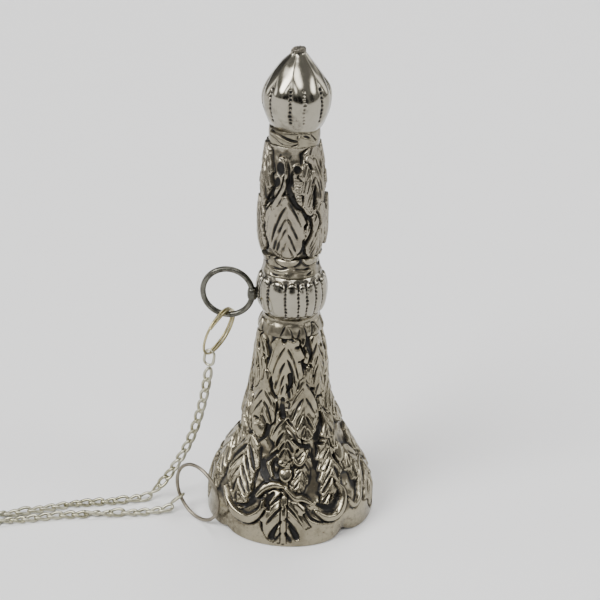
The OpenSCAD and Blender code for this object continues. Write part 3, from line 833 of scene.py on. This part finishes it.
def stem_relief():
    """Two staggered rows of leaves with deep hollows and a few stalks between."""
    profile = [
        (7.35, STEM_TOP), (7.6, 113.4), (8.0, 111), (8.5, 108), (9.0, 104), (9.3, 100), (9.45, 96),
        (9.45, 92.5), (9.3, 89), (8.8, 86), (8.3, 84.4), (7.8, WAIST),
    ]
    m = Relief(profile, 400, 200, seed=21)
    high = smoothstep(116, 114.2, m.z)[:, None]
    m.h = -0.55 * high + 0.13 * m.noise(0.9) * high - 0.05
    # Plain shaft seen between the upper leaves, with a ribbed stalk and its open end
    m.ribbon(
        [(9, 109, 1.3), (10, 106, 1.3), (12, 102, 1.1), (15, 99, 0.7)], rise=-0.25, dome=0.45, groove=0.25,
    )
    for k in range(9):
        z = 108 - 0.8 * k
        m.trench([(3 + 0.7 * k, z, 0.14), (16 + 0.5 * k, z - 0.1, 0.14)], deep=0.3)
    # Upper row
    m.leaf(
        (48, 116), (38, 96.5), 4.9, right=5.0, strokes=6, slope=1.9, reach=0.85, cut=0.55, stroke=0.36,
        rise=0.1, peak=0.8, blunt=0.45, rib="none", fold=0.2,
    )
    m.leaf(
        (-80, 116), (-52, 98.4), 4.6, right=4.2, strokes=6, slope=2.0, reach=0.85, cut=0.55, stroke=0.36,
        rise=0.1, peak=0.8, blunt=0.45, rib="groove",
    )
    # Lower row
    m.leaf((-84, 100.5), (-72, 84.6), 5.4, strokes=5, slope=1.5, rise=0.15, peak=0.9, blunt=0.45)
    m.leaf(
        (54, 100), (42, 84.2), 5.0, right=5.2, strokes=5, slope=2.0, cut=0.55, serrate=0.22, rise=0.2,
        peak=1.0, blunt=0.45, first=0.3,
    )
    m.leaf(
        (-9, 103), (-7, 83.8), 8.0, right=5.4, strokes=4, slope=1.5, reach=0.85, cut=0.6, stroke=0.44,
        teeth=4, serrate=0.14, dome=0.7, rise=0.15, peak=0.95, blunt=0.5, first=0.0, lift=0.15, rib="groove",
    )
    # Stalks and ribbons
    m.ribbon(
        [
            (-28, 113.2, 0.3), (-19, 112.8, 0.42), (-13.5, 110.5, 0.45), (-12.5, 108, 0.45), (-16, 105, 0.5),
            (-25, 102, 0.6), (-33, 99.5, 0.7),
        ],
        rise=0.05, dome=0.35, groove=0.3,
    )
    m.ribbon([(28, 112.6, 0.35), (33, 113.2, 0.5), (40, 112, 0.5), (42, 109.6, 0.3)], rise=0.0, dome=0.4)
    m.ribbon([(20, 99.6, 0.4), (30, 97.6, 0.6), (37, 98.4, 0.5), (41, 101, 0.3)], rise=0.05, dome=0.35)
    # Dark hollows
    m.pit((-26.7, 110.1), (1.35, 1.9), lean=-12, deep=0.95)
    m.pit((-30.5, 106.3), (0.85, 1.4), lean=10, deep=0.9)
    m.pit((8.5, 110.2), (1.0, 1.05), deep=0.95, rim=0.35)
    m.pit((40.5, 102), (0.8, 3.6), lean=3, deep=0.95)
    m.pit((35, 110.8), (0.5, 1.2), lean=-35, deep=0.7)
    m.pit((64, 111), (0.6, 1.6), lean=0, deep=0.8)
    m.pit((88, 108), (1.3, 1.9), lean=8, deep=0.9)
    m.pit((86, 103), (0.7, 1.6), lean=0, deep=0.8)
    m.trench([(-10, 107.5, 0.4), (-5, 104, 0.9), (0, 102, 0.9), (8, 100, 0.75), (18, 98.8, 0.4)], deep=0.9)
    m.trench(
        [(-36, 104.6, 0.5), (-42, 102.4, 0.5), (-47, 100.6, 0.7), (-53, 98.4, 0.6), (-52, 95.6, 0.4)],
        deep=0.85,
    )
    m.trench(
        [(21, 97.4, 0.4), (30, 96.2, 0.6), (33, 93.6, 0.5), (29, 91, 0.5), (22, 88.6, 0.6), (15, 85.8, 0.5)],
        deep=0.8,
    )
    m.trench([(44, 98, 0.3), (50, 95, 0.5), (45, 92.6, 0.35)], deep=0.7)
    m.trench([(-56, 93, 0.35), (-50, 90.4, 0.5), (-43, 87.6, 0.4)], deep=0.7)
    m.trench([(62, 92, 0.3), (68, 89, 0.5), (66, 86, 0.4)], deep=0.7)
    m.trench([(-30, 86.2, 0.25), (-14, 84.6, 0.3), (4, 84.8, 0.25)], deep=0.4)
    m.h += 0.1 * m.noise(3) + 0.05 * m.noise(1.2)
    m.h = soft_limit(m.h + 0.03 * m.noise(0.45), -1.2, 0.8)
    return m


def stem():
    stacked("stem_baluster", stem_relief(), STEM, "stem", -0.5)


def finial_collar():
    profile = [(6.9, BUD_FOOT), (7.1, 119.6), (7.2, 118.6), (7.2, 117.6), (7.15, 116.7), (7.0, STEM_TOP)]
    m = Relief(profile, 320, 50, seed=13)
    m.h = 0.12 * m.noise(1.1) - 0.1
    m.halves = (0,)
    m.ribbon(
        [(-62, 119.3, 0.3), (-42, 118.8, 0.6), (-24, 117.8, 0.75), (-8, 117.3, 0.55), (6, 117.5, 0.2)],
        rise=0.05, dome=0.3, groove=0.3,
    )
    m.ribbon([(12, 119, 0.3), (30, 118, 0.6), (46, 117, 0.3)], rise=0.0, dome=0.25, groove=0.3)
    m.trench([(40, 119.4, 0.2), (54, 117.6, 0.3)], deep=0.4)
    m.trench([(90, 119, 0.2), (130, 117.4, 0.4), (160, 118.6, 0.2)], deep=0.4)
    m.trench([(-150, 118.8, 0.2), (-120, 117.2, 0.4), (-90, 118, 0.2)], deep=0.4)
    m.h = np.clip(m.h, -0.7, 0.35)
    stacked("finial_collar_ring", m, PLAIN, "finial_collar", -0.3)


def finial():
    """The bud, closed at its nub and drilled blind from below."""
    profile = [
        (0.0, TIP), (1.3, 141.9), (1.9, 141.5), (2.05, 140.9), (2.35, 140.2), (3.35, 139.1), (5.0, 137.3),
        (6.85, 134.9), (8.35, 132.4), (9.1, 130.4), (9.35, 128.2), (9.2, 126), (8.7, 124), (7.8, 121.8),
        (6.9, BUD_FOOT),
    ]
    m = Relief(profile, 340, 150, seed=17)
    turns = [(-80, 0.9), (-50, 1), (-11, 1.1), (13, 0.3), (48, 1.1), (80, 0.9)]
    turns += [(110 + 28.5 * k, 1) for k in range(6)]
    m.h = -0.04 + 0.03 * m.noise(2.4)
    m.creases(turns, 133.2, 122.4)
    bulge = np.zeros_like(m.phi)
    for k, petal in enumerate(petals(m, [turn for turn, strength in turns if strength > 0.5], 30)):
        bulge += petal
        # Each petal is fullest at a height of its own
        full = np.exp(-(((m.z - 129.2 - 1.6 * math.sin(2.1 * k)) / 2.6) ** 2))
        m.h += 0.3 * petal[None, :] ** 1.5 * (full[:, None] - 0.5)
    between = smoothstep(121, 124.5, m.z) * smoothstep(136.5, 132, m.z)
    m.h += 0.36 * (bulge[None, :] - 0.6) * between[:, None]
    # The nub is a little rough where the casting was cut off
    m.h += 0.08 * m.noise(0.5) * smoothstep(140, 141, m.z)[:, None]
    m.h = soft_limit(m.h, -0.8, 0.5)
    skin = m.points(0.2)
    nub = smoothstep(137.5, TIP, skin[..., 2])
    skin[..., 0] += 0.3 * nub
    skin[..., 2] -= 0.35 * nub * np.clip(-skin[..., 0] / 2, -1, 1)
    skin[..., 2] = np.minimum(skin[..., 2], TIP)
    plain = ring_rows([(1.6, BUD_FOOT), (1.6, 131), (0, 131)], m.phi)
    cavity = np.maximum(m.cavity(), 0.55 * smoothstep(140.4, 141.4, skin[..., 2]))
    # Painted darker below its widest part: a painted shade that dims its reflection of the floor, with some
    # tarnish in the noise
    cavity += (0.2 + 0.08 * m.noise(1.2)) * smoothstep(129.5, 125, m.z)[:, None]
    cavity = np.concatenate([cavity, np.full(plain.shape[:2], 0.6)])
    turned_piece("finial_bud", np.concatenate([skin, plain]), "bell", POLISHED, "finial", cavity=cavity)


bell_shell()
neck_band()
knop()
pinch_collar()
stem()
finial_collar()
finial()


# --- The rings ------------------------------------------------------------------------------------


def direction(degrees):
    """The level direction at an angle from +X."""
    return np.array([math.cos(math.radians(degrees)), math.sin(math.radians(degrees)), 0])


# Each ring's wire radius, radius, middle and the directions that span it, as in the CAD
EYE_OUT = direction(187)
EYE = 11.65 * EYE_OUT + 70.2 * UP
BAIL_R, BAIL_WIRE = 7.1, 0.85
BAIL_OUT = direction(174)
BAIL_C = EYE + BAIL_R * BAIL_OUT
SPLIT_R, SPLIT_WIRE, SPLIT_PLAY = 7.3, 0.38, 0.35
SPLIT_UP = unit(np.array([0.35, 0.08, 0.93]))
SPLIT_SIDE = np.array([0.4, 0.885, -0.226])
SPLIT_SIDE = unit(SPLIT_SIDE - (SPLIT_SIDE @ SPLIT_UP) * SPLIT_UP)
SPLIT_C = BAIL_C - (BAIL_R - BAIL_WIRE - SPLIT_WIRE - SPLIT_PLAY) * UP - SPLIT_R * SPLIT_UP
FINGER_R, FINGER_WIRE = 8.8, 0.55
FINGER_OUT = direction(-43)
FINGER_C = np.array([-27.3, -10.8, FINGER_R + FINGER_WIRE])
HOOK_ANGLE = math.radians(212)
HOOK = FINGER_C + FINGER_R * (math.cos(HOOK_ANGLE) * FINGER_OUT + math.sin(HOOK_ANGLE) * UP)


def ring_eye():
    """A bead with an upright hole, flared at both ends, on a stem let into the knop."""
    throat, bead_r, half = BAIL_WIRE + 0.07, 1.55, 1.7
    upper = [
        (throat, 0.3), (throat + 0.06, 0.9), (throat + 0.1, 1.4), (throat + 0.14, half - 0.06), (1.12, half),
        (1.2, half - 0.1), (1.36, 1.25), (1.48, 0.8), (bead_r - 0.02, 0.35), (bead_r, 0.0),
    ]
    section = np.array(upper + [(r, -z) for r, z in upper[-2::-1]])
    a = np.linspace(0, 2 * np.pi, 64, endpoint=False)
    r, z = section.T[:, :, None]
    # Its outside isn't quite round
    r = r * np.where(r > 1.3, 1 - 0.035 * np.cos(2 * a + 0.4), 1)
    points, faces = closed_grid(np.stack([r * np.cos(a), r * np.sin(a), z + 0 * a], -1))
    stem_path = np.array([EYE - EYE_OUT * d for d in np.linspace(1.25, 4.6, 8)])
    stem_r = 0.98 * np.array([0.95, 0.82] + [0.8] * 6)
    mesh = joined((points + EYE, triangles(faces)), wire_mesh(stem_path, stem_r, 24))
    make_piece("ring_eye_bead", *mesh, "bell", DARK_WIRE, "ring_eye")


def round_ring(name, centre, out, radius, wire, body, finish, node, sides, count):
    """A closed upright ring of wire, which varies a little in thickness."""
    a = np.linspace(0, 2 * np.pi, count, endpoint=False)
    path = centre + radius * (np.cos(a)[:, None] * out + np.sin(a)[:, None] * UP)
    thick = wire * (1 - 0.02 * (1 + np.cos(3 * a + 1)))
    return wire_piece(name, path, thick, body, finish, node, sides, closed=True)


def split_ring():
    """One and two thirds turns of thin wire, its upper loose end sprung aside."""
    a = np.radians(np.linspace(-70, 525, 260))[:, None]
    lay = (np.degrees(a) / 360 - 0.5) * (2 * SPLIT_WIRE + 0.06)
    path = SPLIT_C + SPLIT_R * (np.cos(a) * SPLIT_UP + np.sin(a) * SPLIT_SIDE)
    path += lay * np.cross(SPLIT_UP, SPLIT_SIDE)
    free = np.clip((np.radians(-38) - a) / np.radians(32), 0, 1) ** 1.5
    path += free * (0.35 * SPLIT_UP - 1.5 * SPLIT_SIDE)
    wire_piece("split_ring_wire", path, SPLIT_WIRE * 0.98, "split", BRASS_WIRE, "split_ring", 14)


def oval(r, half, count):
    """An oval link in the XZ plane, long along Z, as count points at equal steps."""
    a = np.linspace(-math.pi / 2, math.pi / 2, 12)
    top = np.stack([r * np.sin(a), 0 * a, half + r * np.cos(a)], 1)
    return resample(np.concatenate([top, -top, top[:1]]), count + 1)[0][:-1]


def turned(v, axis, degrees):
    return v @ np.array(Matrix.Rotation(math.radians(degrees), 3, axis)).T


def chain_connector():
    """The chain's first link, a plain loop over the split ring."""
    r, half, wire, count = 1.5, 0.9, 0.45, 60
    drop = half + r - wire - SPLIT_WIRE - 0.12
    path = turned(turned(oval(r, half, count) - UP * drop, "Z", -24), "Y", 9)
    path += SPLIT_C - SPLIT_R * SPLIT_UP
    thick = wire * (0.92 + 0.06 * np.cos(4 * np.pi * np.arange(count) / count))
    wire_piece("connector_tab", path, thick, "split", CHAIN, "chain_connector", 14, closed=True)


def chain_end_link():
    """The chain's last link, tipped along the chain and hooked on the finger ring."""
    r, half, wire = 1.45, 0.8, 0.4
    drop = half + r - wire - FINGER_WIRE - 0.2
    path = turned(turned(turned(oval(r, half, 56) - UP * drop, "Z", 60), "Y", 61), "Z", 24) + HOOK
    return wire_piece("end_link_wire", path, wire * 0.97, "bell", CHAIN, "chain_end_link", 14, closed=True)


ring_eye()
round_ring("bail_ring_wire", BAIL_C, BAIL_OUT, BAIL_R, BAIL_WIRE, "bail", DARK_WIRE, "bail_ring", 28, 220)
split_ring()
chain_connector()
end_link = chain_end_link()
finger_ring = round_ring(
    "finger_ring_wire", FINGER_C, FINGER_OUT, FINGER_R, FINGER_WIRE * 0.98, "finger", RING_WIRE,
    "finger_ring", 18, 200,
)


# --- The chain ------------------------------------------------------------------------------------

# The chain's route, from under the connector to its end link: the same points as in the CAD
ROUTE = [
    (-24.3, -0.6, 45), (-24.9, -0.4, 41), (-25.8, -0.2, 36), (-27.2, 0, 30), (-29, 0, 24), (-31.4, 0, 18),
    (-34.6, 0, 12), (-38.2, -0.2, 6.6), (-42.5, -0.8, 3), (-49, -2.6, 1.7), (-57, -4, 1.6), (-65, -5.4, 1.6),
    (-73, -7.9, 1.6), (-80, -10.2, 1.6), (-87, -11.8, 1.6), (-94, -11, 1.6), (-100, -8.8, 1.6),
    (-107, -8.2, 1.6), (-112.5, -11.8, 1.6), (-113, -17.8, 1.6), (-108.5, -21.6, 1.6), (-102, -21.4, 1.6),
    (-95, -18.2, 1.6), (-87, -15.7, 1.6), (-78, -13.9, 1.6), (-69, -11.8, 1.6), (-59, -10.6, 1.6),
    (-49, -9.8, 1.6), (-42, -8.8, 1.8), (-38, -7.8, 2.2), (-35.7, -7, 2.9),
]
LINK_PITCH = 3.6
LINK_HALF, LINK_WIDE, LINK_WIRE = 2.16, 1.13, 0.47
FLOOR_GAP = 0.05
CHAIN_LEFT = -114.95


def curb_link(segments=26, sides=8):
    """Points of one curb link along X: an oval of wire twisted a quarter turn from end to end."""
    t = np.linspace(0, 2 * np.pi, segments, endpoint=False)
    x, y = LINK_HALF * np.cos(t), LINK_WIDE * np.sin(t) * (1 + 0.12 * np.cos(2 * t))
    twist = np.radians(44) * x / LINK_HALF
    line = np.stack([x, y * np.cos(twist), y * np.sin(twist)], 1)
    along = unit(np.roll(line, -1, 0) - np.roll(line, 1, 0))
    out = unit(line)
    out = unit(out - (out * along).sum(1)[:, None] * along)
    a = np.linspace(0, 2 * np.pi, sides, endpoint=False)[None, :, None]
    ring = np.cos(a) * out[:, None] + np.sin(a) * np.cross(along, out)[:, None]
    return (line[:, None] + LINK_WIRE * ring).reshape(-1, 3), grid_faces(segments, sides, wrap_rows=True)


def make_chain():
    """Interlocked curb links along the route. They hang free, then lie on the floor."""
    # The links lie flatter than the CAD's tube, so the line that they follow sinks towards the floor
    line = spline(ROUTE, 8)
    line[:, 2] -= 0.75 * (1 - smoothstep(1.6, 7, line[:, 2]))
    line, at, length = resample(line, 1200)

    def on_line(distance):
        return np.array([np.interp(distance, at, column) for column in line.T])

    link, link_faces = curb_link()
    count = round(length / LINK_PITCH - 0.6)
    points, tone = [], []
    for k, middle in enumerate(np.linspace(0.45 * LINK_PITCH, length - 0.45 * LINK_PITCH, count)):
        here = on_line(middle)
        x = unit(on_line(middle + LINK_HALF) - on_line(middle - LINK_HALF))
        hanging = smoothstep(3, 9, here[2])
        z = hanging * np.array([0.1, -1.0, 0.2]) + (1 - hanging) * UP
        z = unit(z - (z @ x) * x)
        y = np.cross(z, x)
        # Hung links turn a little one after another; laid links rock either way
        roll = 0.35 * math.sin(0.55 * k) * hanging + (1 - hanging) * rng.normal(0, 0.28)
        c, s = math.cos(roll), math.sin(roll)
        placed = here + link @ np.stack([x, c * y + s * z, c * z - s * y])
        low = placed[:, 2].min()
        if low < FLOOR_GAP or hanging == 0:
            placed[:, 2] += FLOOR_GAP - low
        # The loop's far end keeps inside the part's box
        placed[:, 0] = np.maximum(placed[:, 0], CHAIN_LEFT)
        points.append(placed)
        tone.append(np.full(len(link), rng.random()))
    faces = np.concatenate([link_faces + len(link) * k for k in range(count)])
    points, tone = np.concatenate(points), np.concatenate(tone)
    piece = make_piece("chain_links", points, faces, None, CHAIN, "chain", tone=tone)
    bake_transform(piece)
    return piece


make_chain()


# --- The clamp and the clapper --------------------------------------------------------------------

ROD_R, ROD_TOP, ROD_FOOT = 1.6, 131, 52.2
EYE_R, EYE_WIRE, EYE_PLAY = 1.6, 0.5, 0.12
STAPLE_LOW = 47.6
LINK_R, LINK_SIDE = 1.75, 0.6
BOB_R, BOB_Z = 4.4, 10


def eye_and_rod(name, top, rod, radius, body, node):
    """A wire eye with its top at a height, in one piece with a rod along Z."""
    a = np.linspace(0, 2 * np.pi, 60, endpoint=False)
    eye = np.stack([0 * a, EYE_R * np.cos(a), top - EYE_R + EYE_R * np.sin(a)], 1)
    mesh = joined(wire_mesh(eye, EYE_WIRE, 16, closed=True), wire_mesh(rod[:, None] * UP, radius, 24))
    make_piece(name, *mesh, body, STEEL, node)


def clapper():
    """Staple, link, shank and bob, hung under the crown."""
    staple_top = STAPLE_LOW + 2 * EYE_R
    rod = np.linspace(staple_top - 0.1, ROD_FOOT, 8)
    eye_and_rod("staple_eye", staple_top, rod, 0.88, "bell", "clapper_staple")
    hang = 2 * EYE_WIRE + EYE_PLAY - LINK_R - LINK_SIDE
    link_z = STAPLE_LOW + hang
    path = oval(LINK_R, LINK_SIDE, 60) + UP * link_z
    wire_piece("clapper_link_wire", path, 0.49, "link", STEEL, "clapper_link", 14, closed=True)
    top = link_z + hang
    swell = 0.88 * (1 - 0.18 * np.sin(np.linspace(0, np.pi, 24)))
    eye_and_rod("clapper_rod", top, np.linspace(top - 3.3, 13.9, 24), swell, "clapper", "clapper_shank")
    ball = [(BOB_R * math.cos(a), BOB_Z + BOB_R * math.sin(a)) for a in np.radians(np.linspace(76, -70, 30))]
    profile = [(0, 14.3), (0.95, 14.3), *ball, (1.3, 5.6), (1.2, 5.1), (0.9, 5.0), (0, 5.0)]
    turned_piece("clapper_ball", ring_rows(profile, turns_round(64)), "clapper", BOB_STEEL, "clapper_bob")


def tie_rod():
    """The rod, with a thread cut at each end and plain between."""
    spans = (ROD_TOP, 120, -0.12), (120, 60, -3), (60, ROD_FOOT - 0.01, -0.12)
    z = np.concatenate([np.arange(*span) for span in spans])
    phi = turns_round(36)
    wave = np.abs(((z[:, None] / 0.7 + phi[None, :] / 360) % 1) * 2 - 1)
    cut = (smoothstep(60, 59, z) + smoothstep(120, 121, z)) * smoothstep(ROD_FOOT, ROD_FOOT + 0.6, z)
    rings = ring_rows(np.stack([np.ones_like(z), z], 1), phi)
    rings[..., :2] *= (ROD_R - 0.32 * wave * cut[:, None])[..., None]
    rings = np.concatenate([ring_rows([(0, ROD_TOP)], phi), rings, ring_rows([(0, ROD_FOOT)], phi)])
    turned_piece("tie_rod_thread", rings, "bell", STEEL, "tie_rod")


def nut():
    """Six flats, the corners chamfered at both faces."""
    corner, chamfer, top, low = 3.3, 2.892, 56, 53.4
    phi = turns_round(120)
    a = np.radians(phi)
    flat = corner * math.cos(math.radians(30)) / np.cos(np.radians((phi + 30) % 60 - 30))
    edge, hole = np.minimum(flat, chamfer), np.full_like(phi, ROD_R)
    rows = ((hole, top), (edge, top), (flat, top - 0.25), (flat, low + 0.25), (edge, low), (hole, low))
    rings = [np.stack([r * np.cos(a), r * np.sin(a), np.full_like(a, z)], 1) for r, z in rows]
    points, faces = closed_grid(np.array(rings))
    make_piece("nut_hex", points, faces[:, ::-1], "bell", STEEL, "crown_nut")


def washer():
    wide, top, low = 4.2, 56.8, 56.0
    profile = [
        (BORE, top), (wide - 0.15, top), (wide, top - 0.1), (wide, low + 0.1), (wide - 0.15, low), (BORE, low)
    ]
    points, faces = closed_grid(ring_rows(profile, turns_round(120)))
    make_piece("washer_disc", points, faces[:, ::-1], "bell", STEEL, "crown_washer")


clapper()
tie_rod()
nut()
washer()


# --- Floor and world ------------------------------------------------------------------------------

FLOOR_HALF = 40.0
# Direction, inner and outer size in degrees, and strength of each bright part of the room
ROOM = [
    ((-0.6, -0.45, 0.72), 9, 19, 15.0),
    ((0.12, -0.6, 0.85), 7, 14, 8.0),
    ((-0.2, -0.8, 0.62), 3, 8, 5.0),
    ((0.8, -0.25, 0.5), 6, 13, 7.0),
    ((0.1, 0.5, 0.9), 9, 20, 6.0),
    ((-0.95, 0.1, 0.25), 7, 15, 3.0),
    ((0.9, 0.4, 0.3), 8, 16, 2.5),
]
ROOM_BASE = 0.31
# The dark parts, and how much of the light they leave
SHADES = [
    ((-0.3, -0.95, 0.14), 9, 17, 0.03),
    ((0.06, -0.97, 0.2), 9, 17, 0.03),
    ((0.42, -0.9, 0.12), 8, 16, 0.06),
    ((-0.75, -0.6, 0.1), 6, 14, 0.3),
    ((0.8, -0.5, 0.25), 7, 15, 0.2),
    ((0.1, -0.1, 1), 9, 22, 0.35),
    ((-0.5, 0.8, 0.4), 10, 24, 0.35),
]


def make_stage():
    """The white paper that everything stands on."""
    mesh = bpy.data.meshes.new("floor")
    corners = [(x * FLOOR_HALF, y * FLOOR_HALF, 0) for x, y in ((-1, -1), (1, -1), (1, 1), (-1, 1))]
    mesh.from_pydata(corners, [], [(0, 1, 2, 3)])
    floor = bpy.data.objects.new("floor", mesh)
    scene.collection.objects.link(floor)
    n = Nodes(bpy.data.materials.new("floor_paper"))
    grain = n.noise(30, 2.0)
    mesh.materials.append(n.surface(n.mix(grain, (0.89, 0.89, 0.895), (0.91, 0.91, 0.915)), 0.0, 0.6))


def make_world():
    """A pale room, darker overhead and behind the camera, with large soft windows."""
    scene.world = bpy.data.worlds.new("room")
    n = Nodes(scene.world, "ShaderNodeBackground", "ShaderNodeOutputWorld")
    way = n.add("ShaderNodeTexCoord").outputs["Generated"]

    def patch(towards, inner, outer):
        """1 within inner degrees of a direction, 0 beyond outer."""
        ends = {0: way, 1: Vector(towards).normalized()}
        near = n.add("ShaderNodeVectorMath", ends, operation="DOT_PRODUCT").outputs["Value"]
        return n.spread(near, math.cos(math.radians(outer)), math.cos(math.radians(inner)))

    light = ROOM_BASE
    for towards, inner, outer, power in ROOM:
        light = n.math("ADD", n.math("MULTIPLY", patch(towards, inner, outer), power), light)
    for towards, inner, outer, left in SHADES:
        taken = n.math("MULTIPLY", patch(towards, inner, outer), 1 - left)
        light = n.math("MULTIPLY", light, n.math("SUBTRACT", 1.0, taken))
    n.feed(n.shader.inputs["Strength"], light)
    n.feed(n.shader.inputs["Color"], (1.0, 0.995, 0.985))


make_stage()
make_world()
